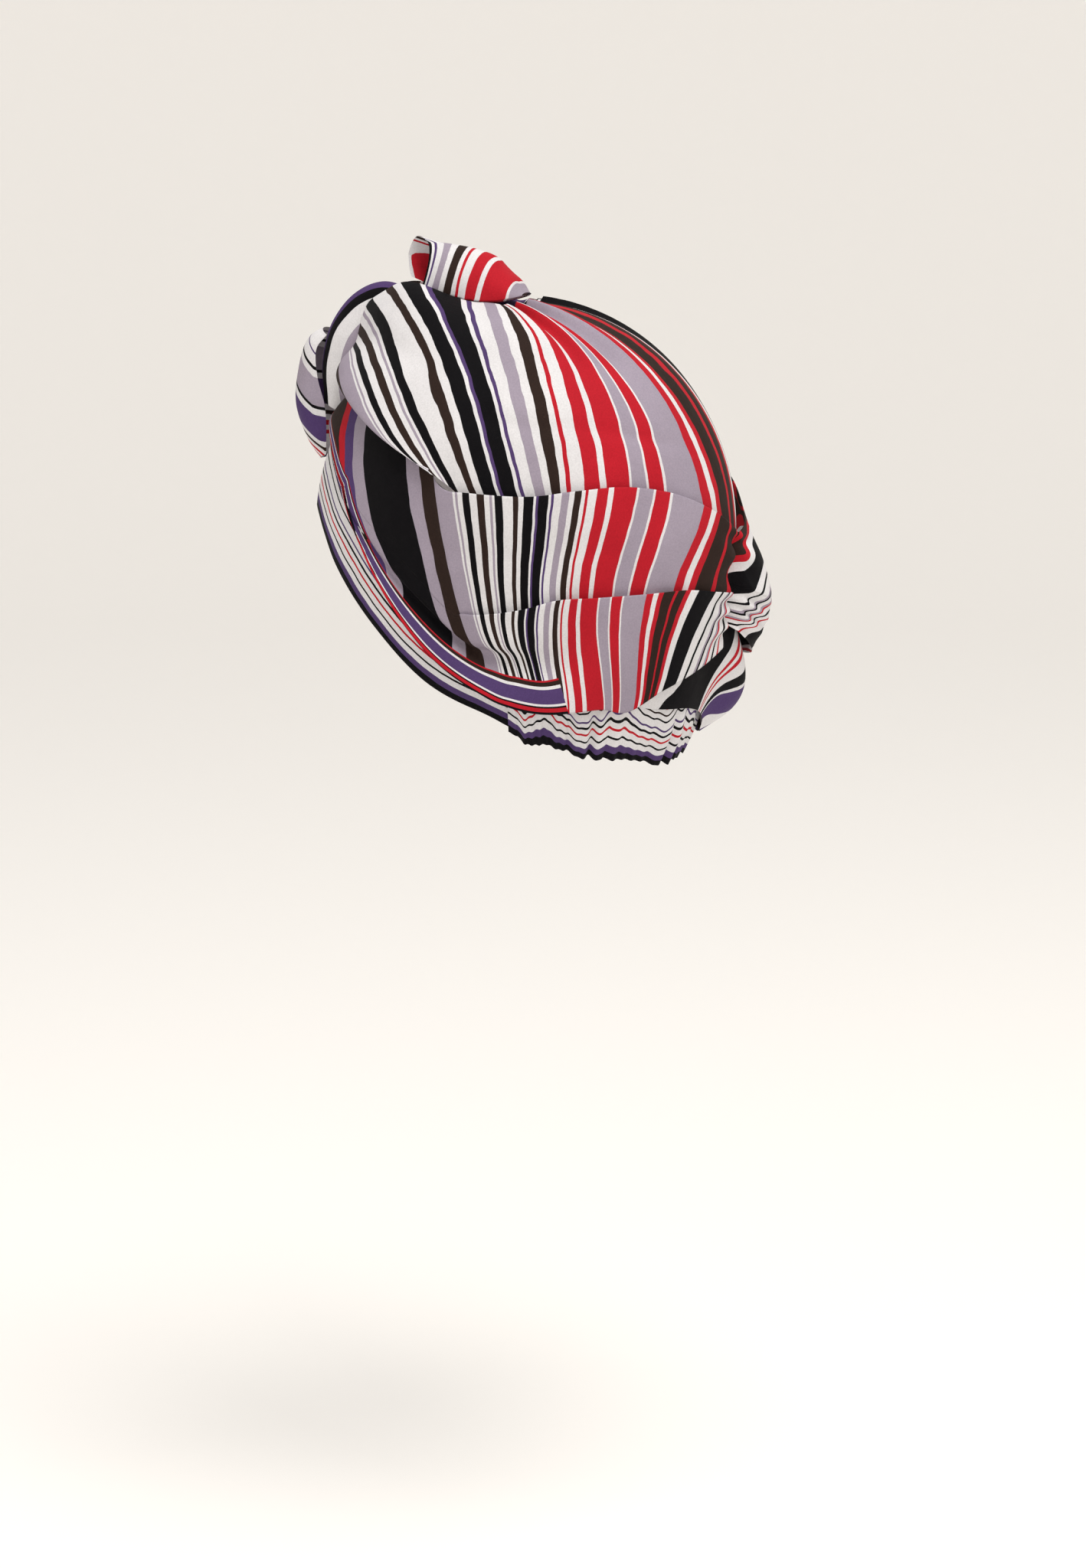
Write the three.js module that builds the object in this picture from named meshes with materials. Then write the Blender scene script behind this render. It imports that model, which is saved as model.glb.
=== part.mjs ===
// A pre-tied turban headwrap: a pleated striped cloth that is wound round the head from a knot above the brow
// to a gathered seam at the back, over a brow band and an elasticated nape.
// Millimetres, +Z up, the face looks along -Y and the wearer's left is +X.
// The origin is the middle of the head.
import * as THREE from "three";

// Driving dimensions
const HEAD = { halfLength: 96, halfWidth: 76, crownHeight: 100, lowerDepth: 150, templeFullness: 0.06 };
const CLOTH = 1.2;
const SEAM = 179.75;

const COLOURS = {
  ivory: 0xe9e4e0,
  lilac: 0xa9a1b4,
  purple: 0x59457f,
  red: 0xc0202f,
  black: 0x17151a,
};

// Places on the head: azimuth in degrees from the face towards the left ear, elevation in degrees
// and lift off the head in mm

// Crown cloth, one row for each stripe line from the front edge to the middle of the back.
// Each line runs from the knot, over the middle of the side, to its end under the side wrap.
const CROWN_LINES = [
  { knot: [8, 39, 9], middle: [60, 34, 6.5], end: [79, 25, 5.5] },
  { knot: [9.5, 40, 15], middle: [56, 32, 10.5], end: [80, 23, 7.4] },
  { knot: [10, 43, 17], middle: [54, 36, 11.5], end: [82.5, 22, 5.6] },
  { knot: [9, 48, 18], middle: [52, 50, 9], end: [89, 18.5, 3.2] },
  { knot: [8, 56, 28], middle: [64, 54, 7], end: [101, 13, 3] },
  { knot: [20, 68, 22], middle: [80, 58, 5.5], end: [109, 13, 3] },
  { knot: [51, 78.7, 8], middle: [104, 54, 5], end: [121, 14, 3] },
  { knot: [86, 80.8, 6], middle: [132, 51, 5], end: [136, 14, 3] },
  { knot: [122, 83.5, 5.5], middle: [152, 45, 5], end: [154, 11, 3] },
  { knot: [165, 85.5, 5.5], middle: [171, 44, 4.5], end: [174, 0, 3] },
];

// Side wrap, one row for each stripe line from the brow to the back seam.
// Each line runs from the upper fold, over the lower fold, to the hem. lip is how far the hem stands out.
const SIDE_LINES = [
  { fold: [6, 31, 7], pleat: [27, 27, 5], hem: [44, 16, 5], step: 0, lip: 0 },
  { fold: [24, 42, 3.2], pleat: [46, 15, 4.5], hem: [58, -4, 6], step: 0, lip: 2 },
  { fold: [49, 42, 3], pleat: [70, -4, 4], hem: [79, -28, 6], step: 0, lip: 5 },
  { fold: [73, 31, 3], pleat: [85, -18, 4], hem: [98, -38, 6], step: 0, lip: 7 },
  { fold: [83, 20, 4.5], pleat: [91, -19, 4], hem: [106, -40, 6], step: 1, lip: 7 },
  { fold: [93, 18, 6.8], pleat: [98, -19, 4], hem: [113, -41, 6], step: 2.5, lip: 6 },
  { fold: [111, 17, 6.8], pleat: [110, -17, 4], hem: [120, -41, 6], step: 3.5, lip: 5 },
  { fold: [126, 18, 6.5], pleat: [120, -14, 4], hem: [128, -41, 6], step: 3.5, lip: 2 },
  { fold: [140, 18, 6.5], pleat: [131, -13, 4], hem: [136, -41, 5], step: 3.5, lip: 0 },
  { fold: [154, 15, 6.5], pleat: [143, -12, 4], hem: [144, -41, 5], step: 3.5, lip: 0 },
  { fold: [166, 10, 6.5], pleat: [157, -11, 4], hem: [155, -35, 5.6], step: 3, lip: 0 },
  { fold: [174, 6, 6.5], pleat: [170, -12, 4.5], hem: [170, -29, 5.6], step: 2, lip: 0 },
  { fold: [SEAM, 3, 6], pleat: [SEAM, -13, 4.5], hem: [SEAM, -25, 5.6], step: 1, lip: 0 },
];

// On the wearer's right the wrap swells into a puff before it reaches the seam
const PUFF_LINES = [
  { fold: [153, 15, 6.8], pleat: [143, -11, 5], hem: [139, -38, 5], step: 3, lip: 0 },
  { fold: [163, 9, 6.6], pleat: [156, -13, 14], hem: [153, -31, 11], step: 1, lip: 0 },
  { fold: [171, 4, 7], pleat: [168, -14, 21], hem: [166, -27, 17], step: 0, lip: 0 },
  { fold: [SEAM, 2, 6.2], pleat: [SEAM, -11, 10], hem: [SEAM, -21, 8], step: 0, lip: 0 },
];

const RIGHT_LINES = [...SIDE_LINES.slice(0, 9), ...PUFF_LINES];

// The lower pleat stands up sharply between these shares of a line and then falls away towards the hem,
// whose lip starts below it
const PLEAT = { foot: 0.49, edge: 0.51, fall: 0.6, end: 0.9 };
const LIP_START = 0.8;
// The seam draws the ends of the wraps into gathers
const SEAM_GATHER = { depth: 1.3, waves: 4, from: 0.86 };

// Brow band, one row for each place round the face from the middle of the brow to behind the ear
const BROW_LINES = [
  { low: [0, 7, 1.2], high: [0, 45, 1.2] },
  { low: [22, 6, 1.2], high: [28, 37, 1.2] },
  { low: [37, -8, 1.2], high: [47, 12, 1.2] },
  { low: [54, -25, 1.2], high: [60, -6, 1.2] },
  { low: [73, -40, 1.2], high: [76, -24, 1.2] },
  { low: [94, -47, 1.2], high: [94, -36, 1.2] },
  { low: [105.2, -50, 1.2], high: [105.2, -41, 1.2] },
];

// Elasticated nape, one row for each place from behind the left ear to behind the right ear
const NAPE_LINES = [
  { high: [105.8, -38.5, 0.9], hem: [105.8, -50.5, 1.4] },
  { high: [124, -37, 0.9], hem: [124, -53, 1.6] },
  { high: [150, -38, 0.9], hem: [150, -53.5, 1.8] },
  { high: [180, -39, 0.9], hem: [180, -53, 1.8] },
  { high: [210, -39, 0.9], hem: [210, -53.5, 1.8] },
  { high: [236, -37, 0.9], hem: [236, -53, 1.6] },
  { high: [254.2, -38.5, 0.9], hem: [254.2, -50.5, 1.4] },
];
const NAPE = { ripples: 22, depth: 1.2, uneven: 0.4, swells: 5.3, start: 0.2 };

// Back panel between the seam and the nape, from the left of the seam to the puff on the right
const BACK_LINES = [
  { high: [150, -25, 2.2], middle: [150, -33, 2.4], low: [150, -41, 2.7] },
  { high: [166, -20, 1.5], middle: [166, -31, 1.9], low: [167, -41, 2.9] },
  { high: [177, -17, 1.2], middle: [177, -30, 1.8], low: [177, -42, 3.2] },
  { high: [184, -15, 1.4], middle: [186, -30, 9], low: [183, -44, 5] },
  { high: [190, -20, 2], middle: [194, -34, 18], low: [187, -47, 5.5] },
  { high: [199, -26, 2], middle: [203, -38, 19], low: [193, -48, 6] },
  { high: [211, -33, 1.4], middle: [213, -43, 10], low: [202, -49, 6] },
  { high: [222, -36, 2.2], middle: [222, -42, 4], low: [214, -46, 5.5] },
];

// Knot: the band that binds it, the end that stands on the crown and the end that hangs over the brow.
// Each row is a section across the band: its middle, half its width, how far it arches out and how deep its
// edges turn in. At its open front the top end leans, its right side ahead of its left, and that side rises.
const KNOT_BAND = [
  { x: 0, y: -45, z: 103, halfWidth: 13.2, arch: 4, depth: 0.3 },
  { x: 0, y: -55, z: 103, halfWidth: 10.2, arch: 6.5, depth: 0.5 },
  { x: 0, y: -66, z: 103, halfWidth: 7.6, arch: 10, depth: 2 },
  { x: 0, y: -74, z: 97, halfWidth: 8.2, arch: 13, depth: 5 },
  { x: 0, y: -79, z: 87, halfWidth: 10.2, arch: 15.5, depth: 8 },
  { x: -0.5, y: -82, z: 75, halfWidth: 11, arch: 16, depth: 9 },
  { x: 0, y: -86, z: 64, halfWidth: 10, arch: 13, depth: 8 },
  { x: 0, y: -91, z: 55, halfWidth: 8, arch: 7, depth: 5 },
];
const TOP_END = [
  { x: 0, y: 2, z: 108, halfWidth: 6, arch: 1, depth: 0.1, lean: 0, rise: 0 },
  { x: 0, y: -2, z: 107, halfWidth: 12.5, arch: 9, depth: 0.8, lean: 0, rise: 0 },
  { x: 0, y: -12, z: 106, halfWidth: 15, arch: 18, depth: 1.6, lean: 0, rise: 0 },
  { x: 0, y: -26, z: 107.5, halfWidth: 15, arch: 21, depth: 1.9, lean: 0, rise: 0 },
  { x: 0, y: -41, z: 111, halfWidth: 13.5, arch: 20, depth: 1.8, lean: 4, rise: 3 },
  { x: 0, y: -52, z: 115, halfWidth: 10.5, arch: 17, depth: 1.5, lean: 8, rise: 8 },
];
const FRONT_END = [
  { x: -3, y: -94.1, z: 88, halfWidth: 8, arch: 5, depth: 0.1 },
  { x: -4, y: -99, z: 81, halfWidth: 10.5, arch: 9, depth: 0.2 },
  { x: -5, y: -100, z: 69, halfWidth: 12.5, arch: 12, depth: 2 },
  { x: -6, y: -100, z: 56, halfWidth: 15, arch: 13, depth: 6 },
  { x: -7, y: -98, z: 43, halfWidth: 16, arch: 10, depth: 5 },
  { x: -8, y: -94, z: 33, halfWidth: 16, arch: 7, depth: 0.3 },
];
// Degrees by which each band curls round to either side
const CURL = { knot: 140, top: 155, front: 100 };

// Grid steps along each piece, and the shares of its width at which it is divided across
const evenly = (steps) => Array.from({ length: steps + 1 }, (_, i) => i / steps);
const WRAP_SHARES = [0, 0.06, 0.14, 0.22, 0.31, 0.4, 0.47, 0.49, 0.51, 0.56, 0.64, 0.72, 0.8, 0.87, 0.94, 1];
const GRID = {
  crown: [50, evenly(10)],
  wrap: [36, WRAP_SHARES],
  brow: [36, evenly(3)],
  nape: [88, evenly(4)],
  back: [24, evenly(8)],
  knot: [14, evenly(8)],
  top: [12, evenly(10)],
  front: [10, evenly(8)],
};

// A direction from the middle of the head
function direction(azimuth, elevation) {
  const around = THREE.MathUtils.degToRad(azimuth);
  const up = THREE.MathUtils.degToRad(elevation);
  return [Math.sin(around) * Math.cos(up), -Math.cos(around) * Math.cos(up), Math.sin(up)];
}

// The head's surface in that direction, with lift added
function onHead([x, y, z, lift]) {
  const way = new THREE.Vector3(x, y, z).normalize();
  const height = way.z > 0 ? HEAD.crownHeight : HEAD.lowerDepth;
  const temples = 1 + 2 * HEAD.templeFullness * Math.max(way.z, 0) * Math.sqrt(1 - way.z * way.z);
  const radius = 1 / Math.hypot(way.x / (HEAD.halfWidth * temples), way.y / HEAD.halfLength, way.z / height);
  return way.multiplyScalar(radius + lift);
}

// A smooth curve through evenly spaced rows of numbers, at share 0 to 1 of its length
function through(rows, share) {
  const last = rows.length - 1;
  const along = Math.min(Math.max(share, 0), 1) * last;
  const i = Math.min(Math.floor(along), last - 1);
  const t = along - i;
  return rows[i].map((a, k) => {
    const b = rows[i + 1][k];
    const before = i > 0 ? rows[i - 1][k] : 2 * a - b;
    const after = i + 2 <= last ? rows[i + 2][k] : 2 * b - a;
    const bend = 2 * before - 5 * a + 4 * b - after;
    const twist = 3 * (a - b) + after - before;
    return a + 0.5 * t * (b - before + t * (bend + t * twist));
  });
}

const ramp = (x, from, to) => THREE.MathUtils.smoothstep(x, from, to);

// A cloth draped through lines of places on the head; extra adds lift from the two shares
function drape(lines, places, extra = () => 0, side = 1) {
  const strands = lines.map((line) =>
    places.map((place) => {
      const [azimuth, elevation, lift] = line[place];
      const [x, y, z] = direction(azimuth, elevation);
      return [side * x, y, z, lift];
    }),
  );
  return (u, v) => {
    const knots = strands.map((strand) => through(strand, v));
    const place = through(knots, u);
    place[3] += extra(u, v);
    return onHead(place);
  };
}

// A band whose section is an arch that curls in at both edges
function archedBand(sections, curl) {
  const rows = sections.map((s) => [s.x, s.y, s.z, s.halfWidth, s.arch, s.depth, s.lean ?? 0, s.rise ?? 0]);
  const sideways = new THREE.Vector3(1, 0, 0);
  const fullTurn = THREE.MathUtils.degToRad(curl);
  return (u, v) => {
    const [x, y, z, halfWidth, arch, depth, lean, rise] = through(rows, u);
    const ahead = through(rows, Math.min(u + 0.02, 1));
    const behind = through(rows, Math.max(u - 0.02, 0));
    const along = new THREE.Vector3(0, ahead[1] - behind[1], ahead[2] - behind[2]).normalize();
    const out = new THREE.Vector3().crossVectors(along, sideways);
    const turn = fullTurn * (2 * v - 1);
    const bend = Math.cos(turn);
    const height = bend > 0 ? arch * bend : (-depth * bend) / Math.cos(fullTurn);
    const rightSide = Math.sin(Math.PI * Math.min(2 * v, 1)) ** 2;
    return new THREE.Vector3(x, y, z + rise * rightSide)
      .addScaledVector(sideways, halfWidth * Math.sin(turn))
      .addScaledVector(along, -lean * Math.sin(turn))
      .addScaledVector(out, height);
  };
}

// A closed cloth wall of even thickness round a surface
function wall(surface, [along, shares]) {
  const across = shares.length - 1;
  const grid = evenly(along).flatMap((u) => shares.map((v) => surface(u, v)));
  const at = (i, j) => grid[i * (across + 1) + j];
  const sides = [[], []];
  for (let i = 0; i <= along; i++) {
    for (let j = 0; j <= across; j++) {
      const lengthways = at(Math.min(i + 1, along), j).clone().sub(at(Math.max(i - 1, 0), j));
      const widthways = at(i, Math.min(j + 1, across)).clone().sub(at(i, Math.max(j - 1, 0)));
      const normal = lengthways.cross(widthways).normalize();
      sides[0].push(at(i, j).clone().addScaledVector(normal, CLOTH / 2));
      sides[1].push(at(i, j).clone().addScaledVector(normal, -CLOTH / 2));
    }
  }
  const points = [...sides[0], ...sides[1]];
  const faces = [];
  const quad = (a, b, c, d) => faces.push(a, b, c, a, c, d);
  const index = (side, i, j) => side * grid.length + i * (across + 1) + j;
  for (let i = 0; i < along; i++) {
    for (let j = 0; j < across; j++) {
      quad(index(0, i, j), index(0, i + 1, j), index(0, i + 1, j + 1), index(0, i, j + 1));
      quad(index(1, i, j), index(1, i, j + 1), index(1, i + 1, j + 1), index(1, i + 1, j));
    }
    quad(index(0, i, 0), index(1, i, 0), index(1, i + 1, 0), index(0, i + 1, 0));
    quad(index(0, i, across), index(0, i + 1, across), index(1, i + 1, across), index(1, i, across));
  }
  for (let j = 0; j < across; j++) {
    quad(index(0, 0, j), index(0, 0, j + 1), index(1, 0, j + 1), index(1, 0, j));
    quad(index(0, along, j), index(1, along, j), index(1, along, j + 1), index(0, along, j + 1));
  }
  const geometry = new THREE.BufferGeometry().setFromPoints(points);
  geometry.setIndex(faces);
  geometry.computeVertexNormals();
  return geometry;
}

// A line of places on the other side of the head
function mirrored(line) {
  const turned = Object.entries(line).map(([place, [az, el, lift]]) => [place, [360 - az, el, lift]]);
  return Object.fromEntries(turned);
}

// Lift of the side wrap over its lines: the step of the lower pleat and the lip of the hem
function pleatLift(lines) {
  const steps = lines.map((line) => [line.step, line.lip]);
  return (u, v) => {
    const [step, lip] = through(steps, u);
    const pleat = step * ramp(v, PLEAT.foot, PLEAT.edge) * (1 - PLEAT.fall * ramp(v, PLEAT.edge, PLEAT.end));
    const waves = Math.sin(2 * Math.PI * SEAM_GATHER.waves * v);
    const gather = SEAM_GATHER.depth * ramp(u, SEAM_GATHER.from, 1) * waves;
    return pleat + gather + lip * ramp(v, LIP_START, 1);
  };
}

// Ripples that the elastic draws into the nape
const napeRipple = (u, v) => {
  const fullness = ramp(v, NAPE.start, 1) * (1 + NAPE.uneven * Math.sin(2 * Math.PI * NAPE.swells * u));
  return NAPE.depth * fullness * (1 - Math.cos(2 * Math.PI * NAPE.ripples * u));
};

const turban = new THREE.Group();

function addPiece(name, surface, grid, colour) {
  const cloth = new THREE.MeshStandardMaterial({ color: colour, roughness: 0.85, metalness: 0 });
  const piece = new THREE.Mesh(wall(surface, grid), cloth);
  piece.name = name;
  turban.add(piece);
}

const wholeCrown = [...CROWN_LINES, ...CROWN_LINES.map(mirrored).reverse()];
const wholeBrow = [...BROW_LINES.slice(1).map(mirrored).reverse(), ...BROW_LINES];
const SIDE_PLACES = ["fold", "pleat", "hem"];
addPiece("crown_cloth", drape(wholeCrown, ["knot", "middle", "end"]), GRID.crown, COLOURS.ivory);
addPiece("left_wrap", drape(SIDE_LINES, SIDE_PLACES, pleatLift(SIDE_LINES)), GRID.wrap, COLOURS.lilac);
addPiece("right_wrap", drape(RIGHT_LINES, SIDE_PLACES, pleatLift(RIGHT_LINES), -1), GRID.wrap, COLOURS.lilac);
addPiece("brow_band", drape(wholeBrow, ["low", "high"]), GRID.brow, COLOURS.ivory);
addPiece("nape_gather", drape(NAPE_LINES, ["high", "hem"], napeRipple), GRID.nape, COLOURS.black);
addPiece("back_panel", drape(BACK_LINES, ["high", "middle", "low"]), GRID.back, COLOURS.purple);
addPiece("knot_band", archedBand(KNOT_BAND, CURL.knot), GRID.knot, COLOURS.black);
addPiece("top_end", archedBand(TOP_END, CURL.top), GRID.top, COLOURS.red);
addPiece("front_end", archedBand(FRONT_END, CURL.front), GRID.front, COLOURS.purple);

export default turban;
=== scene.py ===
"""A pre-tied turban headwrap of thin striped cloth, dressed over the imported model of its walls.

The cloth is draped over the form of a head through lines of places: azimuth in degrees from the face towards
the wearer's left, elevation in degrees, lift off the head in mm, and the place across the stripes in mm.
"""
import math

import bpy
import numpy as np
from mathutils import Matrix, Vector


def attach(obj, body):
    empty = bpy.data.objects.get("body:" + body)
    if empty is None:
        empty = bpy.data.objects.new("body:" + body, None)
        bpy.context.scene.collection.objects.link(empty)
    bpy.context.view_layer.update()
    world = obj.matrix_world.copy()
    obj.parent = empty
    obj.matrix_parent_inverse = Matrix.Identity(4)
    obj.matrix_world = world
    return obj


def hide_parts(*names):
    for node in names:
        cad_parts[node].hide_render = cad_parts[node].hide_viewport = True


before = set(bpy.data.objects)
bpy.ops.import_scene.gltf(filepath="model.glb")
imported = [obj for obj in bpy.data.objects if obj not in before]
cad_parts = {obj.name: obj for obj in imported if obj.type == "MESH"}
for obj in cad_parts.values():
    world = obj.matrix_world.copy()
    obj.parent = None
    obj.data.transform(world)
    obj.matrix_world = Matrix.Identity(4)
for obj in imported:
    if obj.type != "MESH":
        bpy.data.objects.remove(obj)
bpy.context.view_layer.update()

# Driving dimensions, in mm and degrees
MM = 0.001
HEAD = dict(half_length=96, half_width=76, crown_height=100, lower_depth=150, temple_fullness=0.06)
SEAM = 180

# Colours of the yarn, as linear light
IVORY = (0.67, 0.655, 0.665)
LILAC = (0.32, 0.275, 0.335)
PURPLE = (0.075, 0.043, 0.135)
RED = (0.44, 0.012, 0.022)
BROWN = (0.026, 0.015, 0.012)
BLACK = (0.004, 0.0035, 0.0045)

# Stripes of the cloth, charted: colour and width in mm, from the brow towards the back
STRIPES = [
    (RED, 1), (BROWN, 4), (RED, 2), (PURPLE, 3), (LILAC, 5), (BLACK, 16), (LILAC, 5), (BROWN, 9),
    (LILAC, 9), (IVORY, 2), (LILAC, 1), (IVORY, 2), (BLACK, 2.5), (IVORY, 4), (BROWN, 3), (IVORY, 2),
    (LILAC, 1), (IVORY, 1), (BLACK, 3.3), (IVORY, 4.5), (BROWN, 2.5), (IVORY, 1.5), (BLACK, 4.3),
    (IVORY, 1), (PURPLE, 2), (BLACK, 4), (IVORY, 0.5), (PURPLE, 1.5), (IVORY, 3), (LILAC, 4),
    (IVORY, 2), (BROWN, 3), (IVORY, 1), (RED, 1.5), (IVORY, 2.5), (RED, 2), (IVORY, 1), (RED, 2),
    (IVORY, 1.5), (RED, 10), (IVORY, 1), (LILAC, 7), (IVORY, 1), (RED, 6), (IVORY, 1.5), (LILAC, 11),
    (RED, 4), (IVORY, 2), (RED, 2.5), (BROWN, 3.5), (RED, 1), (BROWN, 4), (RED, 1.5), (IVORY, 2),
    (PURPLE, 1), (IVORY, 1), (BLACK, 7), (IVORY, 3.5), (BLACK, 1.3), (IVORY, 2.5), (LILAC, 2),
    (BLACK, 1), (IVORY, 2), (LILAC, 1.5), (RED, 0.8), (IVORY, 1.5), (BLACK, 1), (IVORY, 3), (RED, 1),
    (IVORY, 3.5), (RED, 0.8), (BLACK, 9), (IVORY, 2.5), (RED, 1), (IVORY, 1.5), (RED, 1.2), (IVORY, 3),
    (BLACK, 3), (IVORY, 1.5), (PURPLE, 8), (IVORY, 7), (PURPLE, 3), (IVORY, 4), (BROWN, 2), (PURPLE, 4),
    (IVORY, 3), (BLACK, 3), (RED, 2), (BLACK, 4),
]
# The hem's border, from its upper edge to the hem, as shares of its width
BORDER = [
    (RED, 0.05), (BROWN, 0.12), (IVORY, 0.09), (PURPLE, 0.42), (IVORY, 0.07), (BLACK, 0.05),
    (RED, 0.12), (BLACK, 0.08),
]
# Brow band and elasticated nape, from their lower edge up
BAND_STRIPES = [
    (BLACK, 3), (PURPLE, 3), (IVORY, 3), (BLACK, 1), (IVORY, 3), (RED, 1), (IVORY, 2.5), (BLACK, 1.2),
    (IVORY, 2), (PURPLE, 1), (IVORY, 4), (BLACK, 1), (IVORY, 2.5), (BROWN, 1), (IVORY, 3), (RED, 1),
    (IVORY, 2), (BLACK, 1),
]
# Binding of the knot, from the middle of its width towards the left
KNOT_STRIPES = [
    (PURPLE, 5.5), (BLACK, 4.5), (IVORY, 8), (LILAC, 5), (BLACK, 6), (IVORY, 4), (PURPLE, 3),
    (IVORY, 5), (LILAC, 6), (IVORY, 4),
]
# Front end, along its length from the knot
FRONT_STRIPES = [
    (IVORY, 5), (PURPLE, 0.8), (IVORY, 5), (BLACK, 1.5), (IVORY, 3), (LILAC, 12), (BLACK, 1.5),
    (IVORY, 3), (PURPLE, 13), (IVORY, 3), (BROWN, 2), (IVORY, 3), (RED, 2.5), (IVORY, 2.5), (RED, 2),
    (IVORY, 4),
]

# Crown cloth, one row for each stripe line from the front edge to the middle of the back
CROWN_LINES = [
    dict(knot=(8, 39, 9, 33), middle=(60, 34, 6.5, 41), end=(79, 25, 5.5, 52)),
    dict(knot=(9.5, 40, 15, 38), middle=(56, 32, 10.5, 48), end=(80, 23, 7.4, 60)),
    dict(knot=(10, 43, 17, 46), middle=(54, 36, 11.5, 57), end=(82.5, 22, 5.6, 69)),
    dict(knot=(9, 48, 18, 63), middle=(52, 50, 9, 75.5), end=(89, 18.5, 3.2, 76)),
    dict(knot=(8, 56, 28, 76), middle=(64, 54, 7, 81.5), end=(101, 13, 3, 86)),
    dict(knot=(20, 68, 22, 90), middle=(80, 58, 5.5, 91.8), end=(109, 13, 3, 95)),
    dict(knot=(51, 78.7, 8, 101), middle=(104, 54, 5, 103), end=(121, 14, 3, 108.5)),
    dict(knot=(86, 80.8, 6, 114), middle=(132, 51, 5, 120.3), end=(136, 14, 3, 123)),
    dict(knot=(122, 83.5, 5.5, 160), middle=(152, 45, 5, 148), end=(154, 11, 3, 148)),
    dict(knot=(165, 85.5, 5.5, 171), middle=(171, 44, 4.5, 167.5), end=(174, 0, 3, 166)),
]
# The right half has the same lines mirrored. Its stripes run on, so that both halves' places add up to this.
CROWN_BOTH_HALVES = 344
# The crown cloth is drawn in under the knot, towards the middle by this share and down by this depth
TUCK = dict(share=0.85, depth=5, rows=8)
# Folds fan out from the knot over these stripes, and a crease crosses others near the end of their lines
CROWN_FOLDS = dict(height=1.6, pitch=4.1, fine_height=1, fine_pitch=2.3, fine_start=1.1, fade=0.75,
                   first=(66, 80), last=(264, 278))
CROWN_CREASE = dict(depth=0.9, share=0.73, width=0.035, first=(84, 95), last=(150, 165))

# Side wrap, one row for each stripe line from the brow to the back seam. The places of the stripes are at
# the upper fold, above and below the lower pleat, and at the hem; step is the height of the pleat, lip how
# far the hem stands out and border the width of the hem's border.
SIDE_LINES = [
    dict(fold=(6, 31, 7), pleat=(27, 27, 5), hem=(44, 16, 5), step=0, lip=0, border=2,
         stripes=(0, 0, 0, 0)),
    dict(fold=(24, 42, 3.2), pleat=(46, 15, 4.5), hem=(58, -4, 6), step=0, lip=2, border=4,
         stripes=(8, 7, 7, 4)),
    dict(fold=(49, 42, 3), pleat=(70, -4, 4), hem=(79, -28, 6), step=0, lip=5, border=8,
         stripes=(20, 23, 23, 20)),
    dict(fold=(73, 31, 3), pleat=(85, -18, 4), hem=(98, -38, 6), step=0, lip=7, border=11,
         stripes=(37, 37.5, 37.5, 41)),
    dict(fold=(83, 20, 4.5), pleat=(91, -19, 4), hem=(106, -40, 6), step=1, lip=7, border=12.5,
         stripes=(49, 48.5, 48.5, 54)),
    dict(fold=(93, 18, 6.8), pleat=(98, -19, 4), hem=(113, -41, 6), step=2.5, lip=6, border=14,
         stripes=(61.5, 63, 62, 72)),
    dict(fold=(111, 17, 6.8), pleat=(110, -17, 4), hem=(120, -41, 6), step=3.5, lip=5, border=15,
         stripes=(86.5, 86, 88, 102)),
    dict(fold=(126, 18, 6.5), pleat=(120, -14, 4), hem=(128, -41, 6), step=3.5, lip=2, border=17,
         stripes=(108, 104.5, 108, 118)),
    dict(fold=(140, 18, 6.5), pleat=(131, -13, 4), hem=(136, -41, 5), step=3.5, lip=0, border=15,
         stripes=(127, 122.5, 131, 131)),
    dict(fold=(154, 15, 6.5), pleat=(143, -12, 4), hem=(144, -41, 5), step=3.5, lip=0, border=15,
         stripes=(147.8, 143, 156.5, 155)),
    dict(fold=(166, 10, 6.5), pleat=(157, -11, 4), hem=(155, -35, 5.6), step=3, lip=0, border=15,
         stripes=(162, 162.5, 176, 184)),
    dict(fold=(174, 6, 6.5), pleat=(170, -12, 4.5), hem=(170, -29, 5.6), step=2, lip=0, border=15,
         stripes=(171, 173, 191, 204)),
    dict(fold=(SEAM, 3, 6), pleat=(SEAM, -13, 4.5), hem=(SEAM, -25, 5.6), step=1, lip=0, border=15,
         stripes=(177, 178, 204, 217)),
]
# On the wearer's right the wrap swells into a puff before it reaches the seam
PUFF_LINES = [
    dict(fold=(153, 15, 6.8), pleat=(143, -11, 5), hem=(139, -38, 5), step=3, lip=0, border=15,
         stripes=(168, 170, 172, 180)),
    dict(fold=(163, 9, 6.6), pleat=(156, -13, 14), hem=(153, -31, 11), step=1, lip=0, border=15,
         stripes=(170, 194, 194, 220)),
    dict(fold=(171, 4, 7), pleat=(168, -14, 21), hem=(166, -27, 17), step=0, lip=0, border=15,
         stripes=(175, 201, 201, 226)),
    dict(fold=(SEAM, 2, 6.2), pleat=(SEAM, -11, 10), hem=(SEAM, -21, 8), step=0, lip=0, border=15,
         stripes=(170, 183, 183, 204)),
]
LINES_BEFORE_PUFF = 9
RIGHT_LINES = SIDE_LINES[:LINES_BEFORE_PUFF] + PUFF_LINES
# Share of the wrap's lines, from the brow, at which the printed border ends
BORDER_END = 0.545
# The lower pleat folds over at a share of the line and falls away by the end of its fall
PLEAT = dict(share=0.5, overlap=0.022, fall=0.6, fall_end=0.8, full_step=3.5)
# Both edges are turned in, the hem flares into a lip and a valley runs above it
TURNED_IN = dict(share=0.045, depth=1.5)
LIP = dict(start=0.8, full=7)
VALLEY = dict(share=0.78, width=0.08, depth=5.5)
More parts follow.
